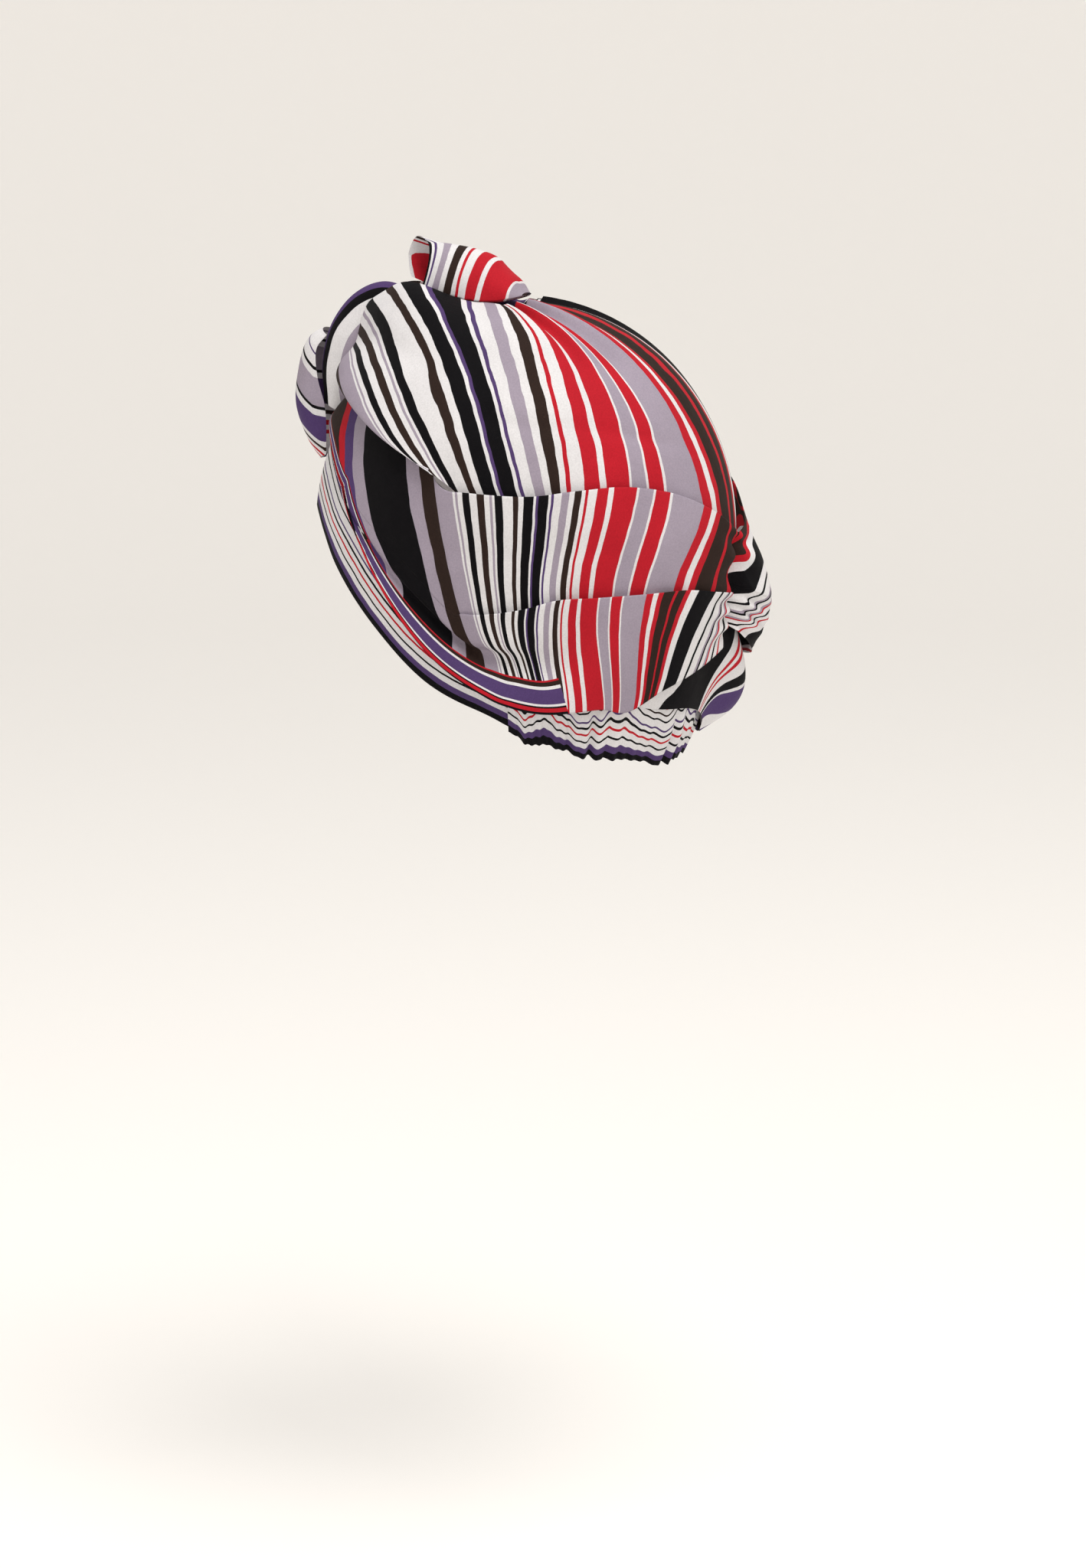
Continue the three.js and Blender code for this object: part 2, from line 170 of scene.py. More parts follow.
# Soft undulations, and the gathers that the seam draws into the cloth before it is tucked in
SOFT = dict(height=0.5, turns=41, slant=3)
SEAM_GATHER = dict(depth=1.3, waves=5, uneven=1.4, uneven_turns=9, start=0.88)
SEAM_WAVER = dict(width=0.8, turns=60, slant=11)
SEAM_TUCK = dict(lift=2.2, start=0.985)

# Brow band, one row for each place from the middle of the brow to behind the ear
BROW_LINES = [
    dict(low=(0, 7, 1.2), high=(0, 45, 1.2)),
    dict(low=(22, 6, 1.2), high=(28, 37, 1.2)),
    dict(low=(37, -8, 1.2), high=(47, 12, 1.2)),
    dict(low=(54, -25, 1.2), high=(60, -6, 1.2)),
    dict(low=(73, -40, 1.2), high=(76, -24, 1.2)),
    dict(low=(94, -47, 1.2), high=(94, -36, 1.2)),
    dict(low=(105.2, -50, 1.2), high=(105.2, -41, 1.2)),
]
# Elasticated nape, one row for each place from behind the left ear to behind the right ear
NAPE_LINES = [
    dict(high=(104.4, -38.5, 2.2), hem=(104.4, -50.5, 2.4)),
    dict(high=(124, -37, 0.9), hem=(124, -53, 1.6)),
    dict(high=(150, -38, 0.9), hem=(150, -53.5, 1.8)),
    dict(high=(180, -39, 0.9), hem=(180, -53, 1.8)),
    dict(high=(210, -39, 0.9), hem=(210, -53.5, 1.8)),
    dict(high=(236, -37, 0.9), hem=(236, -53, 1.6)),
    dict(high=(255.6, -38.5, 2.2), hem=(255.6, -50.5, 2.4)),
]
# Ripples that the elastic draws: lobes of uneven fullness and pitch with fine crinkles. The stripes swing.
NAPE = dict(ripples=17, depth=2.2, uneven=0.5, swells=5.3, softness=0.03, drift=((0.35, 4.3), (0.2, 7.1)),
            crinkle=0.35, crinkles=41, full_height=0.6, flat_ends=0.06)
NAPE_SWING = dict(width=6, waves=5.7, start=0.6, with_ripples=0.25)
# Back panel between the seam and the nape, from the left of the seam to the puff on the right. Beside the
# seam, where the puff pinches in, the stripe places lie in the wide black stripe. That black is the cloth's
# own print, and it also stands for painted shade in the pinch.
BACK_LINES = [
    dict(high=(150, -25, 2.2, 207), middle=(150, -33, 2.4, 209), low=(150, -41, 2.7, 212)),
    dict(high=(166, -20, 1.5, 212), middle=(166, -31, 1.9, 214), low=(167, -41, 2.9, 217)),
    dict(high=(177, -17, 1.2, 217), middle=(177, -30, 1.8, 219), low=(177, -42, 3.2, 222)),
    dict(high=(184, -15, 1.4, 219), middle=(186, -30, 9, 226), low=(183, -44, 5, 244)),
    dict(high=(190, -20, 2, 224), middle=(194, -34, 18, 236), low=(187, -47, 5.5, 252)),
    dict(high=(199, -26, 2, 228), middle=(203, -38, 19, 244), low=(193, -48, 6, 258)),
    dict(high=(211, -33, 1.4, 232), middle=(213, -43, 10, 252), low=(202, -49, 6, 264)),
    dict(high=(222, -36, 2.2, 238), middle=(222, -42, 4, 258), low=(214, -46, 5.5, 270)),
]

# Knot: the band that binds it, the end that stands on the crown and the end that hangs over the brow.
# Each row is a section across the band: its middle, half its width, how far it arches out and how deep its
# edges turn in. At its open front the top end leans, its right side ahead of its left, and that side rises.
KNOT_BAND = [
    dict(x=0, y=-45, z=103, half_width=13.2, arch=4, depth=0.3),
    dict(x=0, y=-55, z=103, half_width=10.2, arch=6.5, depth=0.5),
    dict(x=0, y=-66, z=103, half_width=7.6, arch=10, depth=2),
    dict(x=0, y=-74, z=97, half_width=8.2, arch=13, depth=5),
    dict(x=0, y=-79, z=87, half_width=10.2, arch=15.5, depth=8),
    dict(x=-0.5, y=-82, z=75, half_width=11, arch=16, depth=9),
    dict(x=0, y=-86, z=64, half_width=10, arch=13, depth=8),
    dict(x=0, y=-91, z=55, half_width=8, arch=7, depth=5),
]
TOP_END = [
    dict(x=0, y=2, z=108, half_width=6, arch=1, depth=0.1, lean=0, rise=0),
    dict(x=0, y=-2, z=107, half_width=12.5, arch=9, depth=0.8, lean=0, rise=0),
    dict(x=0, y=-12, z=106, half_width=15, arch=18, depth=1.6, lean=0, rise=0),
    dict(x=0, y=-26, z=107.5, half_width=15, arch=21, depth=1.9, lean=0, rise=0),
    dict(x=0, y=-41, z=111, half_width=13.5, arch=20, depth=1.8, lean=4, rise=3),
    dict(x=0, y=-52, z=115, half_width=10.5, arch=17, depth=1.5, lean=8, rise=8),
]
FRONT_END = [
    dict(x=-3, y=-94.1, z=88, half_width=8, arch=5, depth=0.1),
    dict(x=-4, y=-99, z=81, half_width=10.5, arch=9, depth=0.2),
    dict(x=-5, y=-100, z=69, half_width=12.5, arch=12, depth=2),
    dict(x=-6, y=-100, z=56, half_width=15, arch=13, depth=6),
    dict(x=-7, y=-98, z=43, half_width=16, arch=10, depth=5),
    dict(x=-8, y=-94, z=33, half_width=16, arch=7, depth=0.3),
]
# Degrees by which each band curls round to either side
CURL = dict(knot=140, top=155, front=100)
# Share of a band's length on either side of a place over which its way along is measured
NEARBY = 0.02
# Places of the stripes on the top end, and the slant of the stripes on the front end
TOP_STRIPES = dict(base=138, mouth=95, roll=7, roll_end=0.6, right_side=20, right_start=0.3)
FRONT_SLANT = 0.3

# Points along and across each piece's grid. A wrap has so many across each turned-in edge, on the way down to
# and from its pleat, and on the way back up under the pleat.
GRID = dict(crown=(420, 130), brow=(240, 40), nape=(700, 40), back=(160, 90), knot=(90, 81))
WRAP_GRID = dict(along=360, turned_in=7, down=60, back=12)

# The cloth's look: noise scales per metre, the waver of the stripes in mm, how far the shade varies, and the
# heights of the small creases and of the weave in metres
WAVER = dict(scale=24, detail=2, range=2.0)
FINE_WAVER = dict(scale=90, detail=2, range=0.9)
SHADE = dict(scale=35, detail=4, range=0.28)
GRAIN = dict(scale=1400, detail=1, range=0.3)
CREASES = dict(scale=75, detail=3, strength=0.5, height=0.0012)
WEAVE = dict(scale=1800, detail=1, strength=0.25, height=0.0002)
FINISH = {"Roughness": 0.72, "Specular IOR Level": 0.06, "Sheen Weight": 0.02, "Sheen Roughness": 0.5}
# A colour ramp holds so many stripes, and a repeating chart is read up to just before its end
RAMP_STOPS = 32
CHART_END = 0.999

# Camera: degrees, metres, the lens and sensor in mm, and the pixel of the photo at which the origin lies
CAMERA = dict(azimuth=110, elevation=7, distance=1.8, lens=90.18, sensor=36)
PHOTO = dict(width=1418, height=2048, origin_x=683, origin_y=695)

# Floor that bends up into a low wall, in metres, and its looks
STAGE = dict(height=-0.48, inner=0.5, floor=3.0, bend=1.4, wall=1.2, segments=96, bend_steps=20)
BACKDROP = dict(colour=(0.94, 0.92, 0.89, 1), glow=(1.0, 0.96, 0.92, 1), glow_strength=0.09, roughness=0.9)
# Two soft lights: where each stands, in degrees and metres, its size in metres and its power in watts
LIGHTS = {
    "key": dict(azimuth=140, elevation=66, distance=2.2, size=1.2, power=38, colour=(1.0, 0.98, 0.95)),
    "fill": dict(azimuth=60, elevation=25, distance=2.4, size=1.8, power=3, colour=(0.97, 0.98, 1.0)),
}
ROOM = dict(colour=(1.0, 0.98, 0.96, 1), strength=0.6)


# Surfaces

def direction(azimuth, elevation):
    """A direction from the middle of the head."""
    around, up = math.radians(azimuth), math.radians(elevation)
    return [math.sin(around) * math.cos(up), -math.cos(around) * math.cos(up), math.sin(up)]


def on_head(way, lift):
    """The head's surface in each direction, with the lift added, in mm."""
    way = way / np.linalg.norm(way, axis=-1, keepdims=True)
    height = np.where(way[..., 2] > 0, HEAD["crown_height"], HEAD["lower_depth"])
    up = np.maximum(way[..., 2], 0)
    half_width = HEAD["half_width"] * (1 + 2 * HEAD["temple_fullness"] * up * np.sqrt(1 - up * up))
    scaled = np.stack([way[..., 0] / half_width, way[..., 1] / HEAD["half_length"], way[..., 2] / height], -1)
    return way * (1 / np.linalg.norm(scaled, axis=-1) + lift)[..., None]


def through(rows, share):
    """Smooth curves through evenly spaced rows, along the last axis but one, at shares of their length."""
    last = rows.shape[-2] - 1
    along = np.clip(share, 0, 1) * last
    i = np.minimum(along.astype(int), last - 1)[..., None]
    t = along[..., None] - i
    first = 2 * rows[..., :1, :] - rows[..., 1:2, :]
    final = 2 * rows[..., -1:, :] - rows[..., -2:-1, :]
    longer = np.concatenate([first, rows, final], axis=-2)
    before, a, b, after = (np.take_along_axis(longer, i + k, axis=-2) for k in range(4))
    bend = 2 * before - 5 * a + 4 * b - after
    twist = 3 * (a - b) + after - before
    return a + 0.5 * t * (b - before + t * (bend + t * twist))


def drape(lines, places, u, v, side=1):
    """Lines of places on the head at shares u and v: the directions, and the columns after the elevation."""
    table = np.array([[direction(*line[p][:2]) + list(line[p][2:]) for p in places] for line in lines], float)
    table[..., 0] *= side
    strands = np.stack([through(table[:, k], u) for k in range(len(places))], axis=1)
    found = through(strands, np.broadcast_to(v, (len(u), np.shape(v)[-1])))
    return found[..., :3], found[..., 3:]


def arched_band(sections, curl, u, v):
    """A band whose section is an arch that curls in at both edges."""
    columns = ("x", "y", "z", "half_width", "arch", "depth", "lean", "rise")
    rows = np.array([[section.get(column, 0) for column in columns] for section in sections], float)
    found = through(rows, u)
    half_width, arch, depth, lean, rise = found[:, 3:].T[:, :, None]
    along = through(rows, np.minimum(u + NEARBY, 1)) - through(rows, np.maximum(u - NEARBY, 0))
    along = along[:, 1:3] / np.linalg.norm(along[:, 1:3], axis=1, keepdims=True)
    out = np.stack([np.zeros(len(u)), along[:, 1], -along[:, 0]], -1)
    turn = np.radians(curl * (2 * v - 1))
    bend = np.cos(turn)
    height = np.where(bend > 0, arch * bend, -depth * bend / math.cos(math.radians(curl)))
    points = found[:, None, :3] + np.zeros((1, len(v), 1))
    points[..., 0] += half_width * np.sin(turn)
    points[..., 1:] -= along[:, None] * (lean * np.sin(turn))[..., None]
    points[..., 2] += rise * np.sin(math.pi * np.clip(2 * v, 0, 1)) ** 2
    return points + out[:, None] * height[..., None]


def shares(count):
    return np.linspace(0, 1, count)


def ramp(x, start, end):
    """A smooth rise from 0 at the start to 1 at the end."""
    t = np.clip((x - start) / (end - start), 0, 1)
    return t * t * (3 - 2 * t)


def between(x, first, last):
    """1 between two ramps, each given by its two ends."""
    return ramp(x, *first) * (1 - ramp(x, *last))


def wave(x, cycles, start=0):
    """A sine with so many cycles from 0 to 1."""
    return np.sin(2 * np.pi * cycles * x + start)


def mirrored(line):
    """A line of places on the other side of the head."""
    return {place: (360 - values[0],) + tuple(values[1:]) for place, values in line.items()}


def lengths(points, axis):
    """Distance along each grid line from its start."""
    step = np.linalg.norm(np.diff(points, axis=axis), axis=-1)
    return np.concatenate([np.zeros_like(np.take(step, [0], axis)), np.cumsum(step, axis)], axis)


# Pieces

def cloth_piece(name, points, stripe, along, material, border=None):
    """A grid of points in mm as a smooth sheet that rides on the frame, with its places in the cloth."""
    rows, columns = points.shape[:2]
    index = np.arange(rows * columns).reshape(rows, columns)
    quads = np.stack([index[:-1, :-1], index[1:, :-1], index[1:, 1:], index[:-1, 1:]], -1).reshape(-1, 4)
    mesh = bpy.data.meshes.new(name)
    mesh.from_pydata((points.reshape(-1, 3) * MM).tolist(), [], quads.tolist())
    layers = {"cloth": (stripe, along)}
    if border is not None:
        layers["border"] = border
    corners = quads.ravel()
    for layer, (a, b) in layers.items():
        places = np.stack([np.broadcast_to(values, (rows, columns)).ravel() for values in (a, b)], -1)
        mesh.uv_layers.new(name=layer).data.foreach_set("uv", places[corners].ravel())
    mesh.polygons.foreach_set("use_smooth", np.ones(len(quads), bool))
    mesh.materials.append(material)
    piece = bpy.data.objects.new(name + "_cloth", mesh)
    bpy.context.scene.collection.objects.link(piece)
    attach(piece, "root")
    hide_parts(name)


# Materials

def colour_ramp(nodes, chart, start, total):
    """A stepped colour ramp over part of a chart whose first stripe begins at start."""
    node = nodes.new("ShaderNodeValToRGB")
    node.color_ramp.interpolation = "CONSTANT"
    stops = node.color_ramp.elements
    place = start
    for i, (colour, width) in enumerate(chart):
        stop = stops[i] if i < 2 else stops.new(1.0)
        stop.position = place / total
        stop.color = (*colour, 1)
        place += width
    return node


def feed(tree, sockets, values):
    """Link each value that comes from another node, and set the others."""
    for socket, value in zip(sockets, values):
        if isinstance(value, bpy.types.NodeSocket):
            tree.links.new(value, socket)
        else:
            socket.default_value = value


def mix_colour(tree, factor, a, b, blend="MIX"):
    node = tree.nodes.new("ShaderNodeMix")
    node.data_type = "RGBA"
    node.blend_type = blend
    sockets = [socket for socket in node.inputs if socket.enabled]
    feed(tree, sockets, (factor, a, b))
    return next(socket for socket in node.outputs if socket.enabled)


def maths(tree, operation, *values):
    node = tree.nodes.new("ShaderNodeMath")
    node.operation = operation
    feed(tree, node.inputs, values)
    return node.outputs["Value"]


def noise(tree, space, look):
    """Noise from 0 to 1."""
    node = tree.nodes.new("ShaderNodeTexNoise")
    node.inputs["Scale"].default_value = look["scale"]
    node.inputs["Detail"].default_value = look["detail"]
    tree.links.new(space, node.inputs["Vector"])
    return node.outputs["Fac"]


def varied(tree, space, look, middle):
    """Noise that varies over its range round a middle."""
    return maths(tree, "MULTIPLY_ADD", noise(tree, space, look), look["range"], middle - look["range"] / 2)


def chart_colour(tree, chart, place):
    """The colour of a repeating stripe chart at a place in mm, from as many ramps as its stripes need."""
    total = sum(width for _, width in chart)
    share = maths(tree, "FRACT", maths(tree, "DIVIDE", place, total))
    start, colour = 0, None
    for i in range(0, len(chart), RAMP_STOPS):
        part = chart[i:i + RAMP_STOPS]
        stripes = colour_ramp(tree.nodes, part, start, total)
        tree.links.new(share, stripes.inputs["Fac"])
        beyond = maths(tree, "GREATER_THAN", share, start / total)
        found = stripes.outputs["Color"]
        colour = mix_colour(tree, beyond, colour, found) if colour else found
        start += sum(width for _, width in part)
    return colour


def layer_places(tree, layer):
    """The two places in the cloth that a layer holds."""
    uv = tree.nodes.new("ShaderNodeUVMap")
    uv.uv_map = layer
    split = tree.nodes.new("ShaderNodeSeparateXYZ")
    tree.links.new(uv.outputs["UV"], split.inputs["Vector"])
    return split.outputs["X"], split.outputs["Y"]


def striped_cloth(name, chart, border=None):
    """Thin woven cloth: stripes that waver a little, a fine weave, soft creases and a faint sheen."""
    material = bpy.data.materials.new(name)
    material.use_nodes = True
    tree = material.node_tree
    links = tree.links
    shader = tree.nodes["Principled BSDF"]
    stripe, _ = layer_places(tree, "cloth")
    space = tree.nodes.new("ShaderNodeTexCoord").outputs["Object"]
    waver = maths(tree, "ADD", varied(tree, space, WAVER, 0), varied(tree, space, FINE_WAVER, 0))
    colour = chart_colour(tree, chart, maths(tree, "ADD", stripe, waver))
    if border:
        across, along = layer_places(tree, "border")
        printed = chart_colour(tree, border, maths(tree, "MINIMUM", across, CHART_END))
        inside = maths(tree, "GREATER_THAN", across, 0.0)
        before_end = maths(tree, "LESS_THAN", along, BORDER_END)
        colour = mix_colour(tree, maths(tree, "MULTIPLY", inside, before_end), colour, printed)
    brightness = maths(tree, "MULTIPLY", varied(tree, space, SHADE, 1), varied(tree, space, GRAIN, 1))
    tone = tree.nodes.new("ShaderNodeCombineColor")
    for channel in ("Red", "Green", "Blue"):
        links.new(brightness, tone.inputs[channel])
    links.new(mix_colour(tree, 1.0, colour, tone.outputs["Color"], "MULTIPLY"), shader.inputs["Base Color"])
    for socket, value in FINISH.items():
        shader.inputs[socket].default_value = value
    below = None
    for relief in (CREASES, WEAVE):
        bump = tree.nodes.new("ShaderNodeBump")
        bump.inputs["Strength"].default_value = relief["strength"]
        bump.inputs["Distance"].default_value = relief["height"]
        links.new(noise(tree, space, relief), bump.inputs["Height"])
        if below:
            links.new(below.outputs["Normal"], bump.inputs["Normal"])
        below = bump
    links.new(bump.outputs["Normal"], shader.inputs["Normal"])
    return material


main_cloth = striped_cloth("striped_cloth", STRIPES)
wrap_cloth = striped_cloth("striped_cloth_with_border", STRIPES, BORDER)
band_cloth = striped_cloth("band_cloth", BAND_STRIPES)
knot_cloth = striped_cloth("knot_cloth", KNOT_STRIPES)
front_cloth = striped_cloth("front_cloth", FRONT_STRIPES)


# Forms of the pieces

def crown():
    """The crown, with folds that fan out from the knot, under which its edge is drawn in."""
    u, v = map(shares, GRID["crown"])
    far = []
    for line in CROWN_LINES:
        turned = mirrored(line)
        far.append({place: values[:3] + (CROWN_BOTH_HALVES - values[3],) for place, values in turned.items()})
    way, rest = drape(CROWN_LINES + far[::-1], ("knot", "middle", "end"), u, v)
    lift, stripe = rest[..., 0], rest[..., 1]
    folds = CROWN_FOLDS["height"] * np.sin(stripe / CROWN_FOLDS["pitch"])
    fine = CROWN_FOLDS["fine_height"] * np.sin(stripe / CROWN_FOLDS["fine_pitch"] + CROWN_FOLDS["fine_start"])
    near_knot = 1 - ramp(v, 0, CROWN_FOLDS["fade"])
    folds = (folds + fine) * near_knot * between(stripe, CROWN_FOLDS["first"], CROWN_FOLDS["last"])
    crease = CROWN_CREASE["depth"] * np.exp(-((v - CROWN_CREASE["share"]) / CROWN_CREASE["width"]) ** 2)
    crease = crease * between(stripe, CROWN_CREASE["first"], CROWN_CREASE["last"])
    points = on_head(way, lift + folds - crease)
    drawn_in = np.linspace(1, 0, TUCK["rows"], endpoint=False)[None, :, None]
    edge = points[:, :1]
    tuck = edge * (1 - drawn_in * TUCK["depth"] / np.linalg.norm(edge, axis=-1, keepdims=True))
    tuck = tuck * (1 - drawn_in * TUCK["share"] * np.array([1, 0, 0]))
    points = np.concatenate([tuck, points], axis=1)
    stripe = np.concatenate([np.repeat(stripe[:, :1], TUCK["rows"], axis=1), stripe], axis=1)
    cloth_piece("crown_cloth", points, stripe, lengths(points, 1), main_cloth)


def wrap(name, lines, side):
    """A side wrap with its upper fold turned in, its lower pleat folded over and its hem turned under."""
    u = shares(WRAP_GRID["along"])
    rows = [[line["step"], line["lip"], line["border"], *line["stripes"]] for line in lines]
    step, lip, border, *marks = through(np.array(rows, float), u).T[:, :, None]
    overlap = PLEAT["overlap"] * np.clip(step / PLEAT["full_step"], 0, 1)
    upper, lower = PLEAT["share"] + overlap, PLEAT["share"] - overlap
    turned, depth = TURNED_IN["share"], TURNED_IN["depth"]
    one = np.ones_like(step)
    way_in, way_down, way_back = (shares(WRAP_GRID[part]) for part in ("turned_in", "down", "back"))
    falling = step * (1 - PLEAT["fall"] * ramp(way_down, 0, PLEAT["fall_end"]))
    fallen = step * (1 - PLEAT["fall"])

    # Each part has its shares of the line, its lift and whether it lies below the pleat
    parts = [
        (one * turned * (1 - way_in[:-1]), -depth * one * np.cos(way_in[:-1] * math.pi / 2), False),
        (upper * way_down, 0 * one * way_down, False),
        (upper + (lower - upper) * way_back[1:-1], step * ramp(way_back[1:-1], 0, 1), True),
        (lower + (1 - lower) * way_down, falling, True),
        (1 - turned * way_in[1:] * one, fallen - depth * one * np.sin(way_in[1:] * math.pi / 2), True),
    ]
    v = np.concatenate([part[0] for part in parts], axis=1)
    folded = np.concatenate([part[1] for part in parts], axis=1)
    below = np.concatenate([np.full(part[0].shape[1], part[2]) for part in parts])
    way, rest = drape(lines, ("fold", "pleat", "hem"), u, v, side)

    near_seam = ramp(u, SEAM_GATHER["start"], 1)[:, None]
    uneven = SEAM_GATHER["uneven"] * np.sin(SEAM_GATHER["uneven_turns"] * v)
    gather = SEAM_GATHER["depth"] * near_seam * wave(v, SEAM_GATHER["waves"], uneven)
    soft = SOFT["height"] * np.sin(u[:, None] * SOFT["turns"] + SOFT["slant"] * v)
    soft = soft * np.sin(math.pi * np.clip(2 * v, 0, 1))
    valley = VALLEY["depth"] * np.exp(-((v - VALLEY["share"]) / VALLEY["width"]) ** 2)
    valley = valley * np.clip(lip / LIP["full"], 0, 1)
    lift = rest[..., 0] + folded + gather + soft - valley + lip * ramp(v, LIP["start"], 1)
    tucked = ramp(u, SEAM_TUCK["start"], 1)[:, None]
    points = on_head(way, lift + (SEAM_TUCK["lift"] - lift) * tucked)

    share_above = v / PLEAT["share"]
    share_below = (v - PLEAT["share"]) / (1 - PLEAT["share"])
    stripe_above = marks[0] + (marks[1] - marks[0]) * share_above
    stripe_below = marks[2] + (marks[3] - marks[2]) * share_below
    stripe = np.where(below[None, :], stripe_below, stripe_above)
    waver = np.sin(SEAM_WAVER["turns"] * u[:, None] + SEAM_WAVER["slant"] * v)
    stripe = stripe + SEAM_WAVER["width"] * near_seam * waver

    turned_under = len(way_in) - 1
    # The border is measured from the front edge and the hem
    edge = np.concatenate([points[0], points[:, -turned_under - 1]])
    columns = points.transpose(1, 0, 2)
    from_edge = [np.linalg.norm(column[:, None] - edge[None], axis=-1).min(axis=1) for column in columns]
    across_border = 1 - np.stack(from_edge, axis=1) / border
    across_border[:, -turned_under:] = 1
    cloth_piece(name, points, stripe, lengths(points, 1), wrap_cloth, (across_border, u[:, None]))


def brow():
    """The band round the face, with its stripes along it."""
    u, v = map(shares, GRID["brow"])
    lines = [mirrored(line) for line in BROW_LINES[:0:-1]] + BROW_LINES
    way, rest = drape(lines, ("low", "high"), u, v)
    points = on_head(way, rest[..., 0])
    cloth_piece("brow_band", points, lengths(points, 1), lengths(points, 0), band_cloth)


def nape():
    """The elasticated nape, with a lobe for each half cycle of its ripples."""
    u, v = map(shares, GRID["nape"])
    way, rest = drape(NAPE_LINES, ("high", "hem"), u, v)
    phase = NAPE["ripples"] * u + sum(size * wave(u, cycles) for size, cycles in NAPE["drift"])
    fullness = 1 + NAPE["uneven"] * wave(u, NAPE["swells"])
    lobes = NAPE["depth"] * fullness * np.sqrt(wave(phase, 0.5) ** 2 + NAPE["softness"])
    lobes = lobes + NAPE["crinkle"] * wave(u, NAPE["crinkles"])
    rippled = between(u, (0, NAPE["flat_ends"]), (1 - NAPE["flat_ends"], 1))
    points = on_head(way, rest[..., 0] + (rippled * lobes)[:, None] * ramp(v, 0, NAPE["full_height"]))
    swing = wave(u, NAPE_SWING["waves"], NAPE_SWING["start"]) + NAPE_SWING["with_ripples"] * wave(phase, 1)
    swing = NAPE_SWING["width"] * (rippled * swing)[:, None] * (1 - v)
    from_hem = lengths(points[:, ::-1], 1)[:, ::-1]
    cloth_piece("nape_gather", points, from_hem + swing, lengths(points, 0), band_cloth)


def back():
    """The cloth between the seam and the nape, with the lower puff."""
    u, v = map(shares, GRID["back"])
    way, rest = drape(BACK_LINES, ("high", "middle", "low"), u, v)
    points = on_head(way, rest[..., 0])
    cloth_piece("back_panel", points, rest[..., 1], lengths(points, 1), main_cloth)


def from_middle(points):
    """Distance across a band from the middle of its width, towards the left."""
    across = lengths(points, 1)
    middle = points.shape[1] // 2
    return across - across[:, middle:middle + 1]


def knot():
    """The knot's band and its two ends."""
    u, v = map(shares, GRID["knot"])
    band = arched_band(KNOT_BAND, CURL["knot"], u, v)
    cloth_piece("knot_band", band, from_middle(band), lengths(band, 0), knot_cloth)

    top = arched_band(TOP_END, CURL["top"], u, v)
    stripe = TOP_STRIPES["base"] + (TOP_STRIPES["mouth"] - TOP_STRIPES["base"]) * u[:, None]
    rolled = np.sin(math.pi * np.clip(u / TOP_STRIPES["roll_end"], 0, 1))[:, None]
    left_side = TOP_STRIPES["roll"] * rolled * np.clip(2 * v - 1, 0, 1)
    right_side = TOP_STRIPES["right_side"] * u[:, None] * ramp(0.5 - v, 0, TOP_STRIPES["right_start"])
    cloth_piece("top_end", top, stripe + left_side + right_side, lengths(top, 1), main_cloth)

    front = arched_band(FRONT_END, CURL["front"], u, v)
    stripe = lengths(front, 0) - FRONT_SLANT * from_middle(front)
    cloth_piece("front_end", front, stripe, lengths(front, 1), front_cloth)


crown()
wrap("left_wrap", SIDE_LINES, 1)
wrap("right_wrap", RIGHT_LINES, -1)
brow()
nape()
back()
knot()


# Camera

def add_camera():
    """The photo's view, turned so that the origin falls on its pixel."""
    data = bpy.data.cameras.new("photo_camera")
    data.lens = CAMERA["lens"]
    data.sensor_width = CAMERA["sensor"]
    camera = bpy.data.objects.new("photo_camera", data)
    bpy.context.scene.collection.objects.link(camera)
    back_way = Vector(direction(CAMERA["azimuth"], CAMERA["elevation"]))
    right = Vector((0, 0, 1)).cross(back_way).normalized()
    up = back_way.cross(right)
    focal_pixels = CAMERA["lens"] / CAMERA["sensor"] * PHOTO["height"]
    aside = (PHOTO["origin_x"] - PHOTO["width"] / 2) / focal_pixels
    above = (PHOTO["height"] / 2 - PHOTO["origin_y"]) / focal_pixels
    camera.location = back_way * CAMERA["distance"]
    looks = -back_way - up * above - right * aside
    camera.rotation_euler = looks.to_track_quat("-Z", "Y").to_euler()
    bpy.context.scene.camera = camera


add_camera()


# Backdrop and light

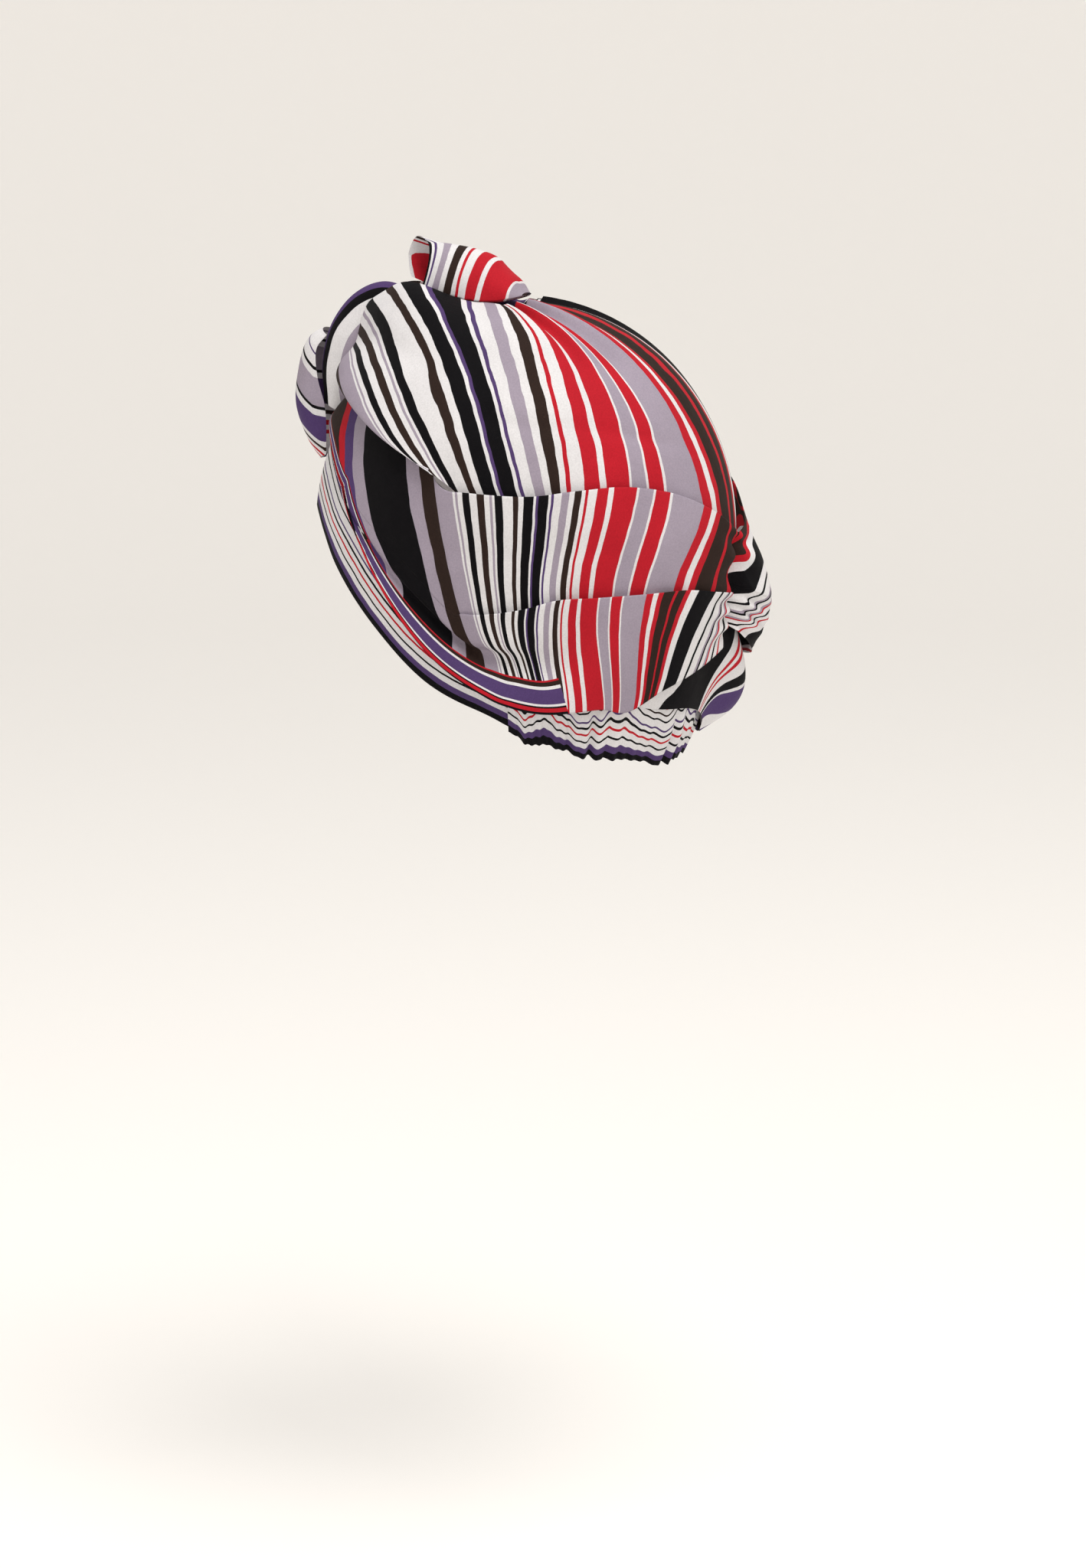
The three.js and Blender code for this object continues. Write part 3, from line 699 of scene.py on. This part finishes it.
def add_stage():
    """A round floor that rises into a low wall on all sides, so that no view shows an edge."""
    floor, radius, segments = STAGE["floor"], STAGE["bend"], STAGE["segments"]
    turns = np.linspace(0, math.pi / 2, STAGE["bend_steps"])
    bend = [(floor + radius * math.sin(t), radius * (1 - math.cos(t))) for t in turns]
    profile = [(STAGE["inner"], 0)] + bend + [(floor + radius, radius + STAGE["wall"])]
    around = np.linspace(0, 2 * math.pi, segments, endpoint=False)
    points = [(r * math.cos(a), r * math.sin(a), STAGE["height"] + h) for r, h in profile for a in around]
    faces = [tuple(range(segments))]
    for ring in range(len(profile) - 1):
        for i in range(segments):
            j = (i + 1) % segments
            low, high = ring * segments, (ring + 1) * segments
            faces.append((low + i, high + i, high + j, low + j))
    mesh = bpy.data.meshes.new("backdrop")
    mesh.from_pydata(points, [], faces)
    mesh.polygons.foreach_set("use_smooth", np.ones(len(faces), bool))
    material = bpy.data.materials.new("pale_backdrop")
    material.use_nodes = True
    shader = material.node_tree.nodes["Principled BSDF"]
    shader.inputs["Base Color"].default_value = BACKDROP["colour"]
    shader.inputs["Emission Color"].default_value = BACKDROP["glow"]
    shader.inputs["Emission Strength"].default_value = BACKDROP["glow_strength"]
    shader.inputs["Roughness"].default_value = BACKDROP["roughness"]
    mesh.materials.append(material)
    stage = bpy.data.objects.new("backdrop", mesh)
    bpy.context.scene.collection.objects.link(stage)


def add_light(name, azimuth, elevation, distance, size, power, colour):
    """A square light that faces the origin and is not seen itself."""
    data = bpy.data.lights.new(name, "AREA")
    data.size = size
    data.energy = power
    data.color = colour
    light = bpy.data.objects.new(name, data)
    way = Vector(direction(azimuth, elevation))
    light.location = way * distance
    light.rotation_euler = (-way).to_track_quat("-Z", "Y").to_euler()
    light.visible_camera = False
    bpy.context.scene.collection.objects.link(light)


add_stage()
for light, settings in LIGHTS.items():
    add_light(light, **settings)
world = bpy.data.worlds.new("soft_room")
world.use_nodes = True
background = world.node_tree.nodes["Background"]
background.inputs["Color"].default_value = ROOM["colour"]
background.inputs["Strength"].default_value = ROOM["strength"]
bpy.context.scene.world = world
bpy.context.scene.view_settings.view_transform = "Standard"
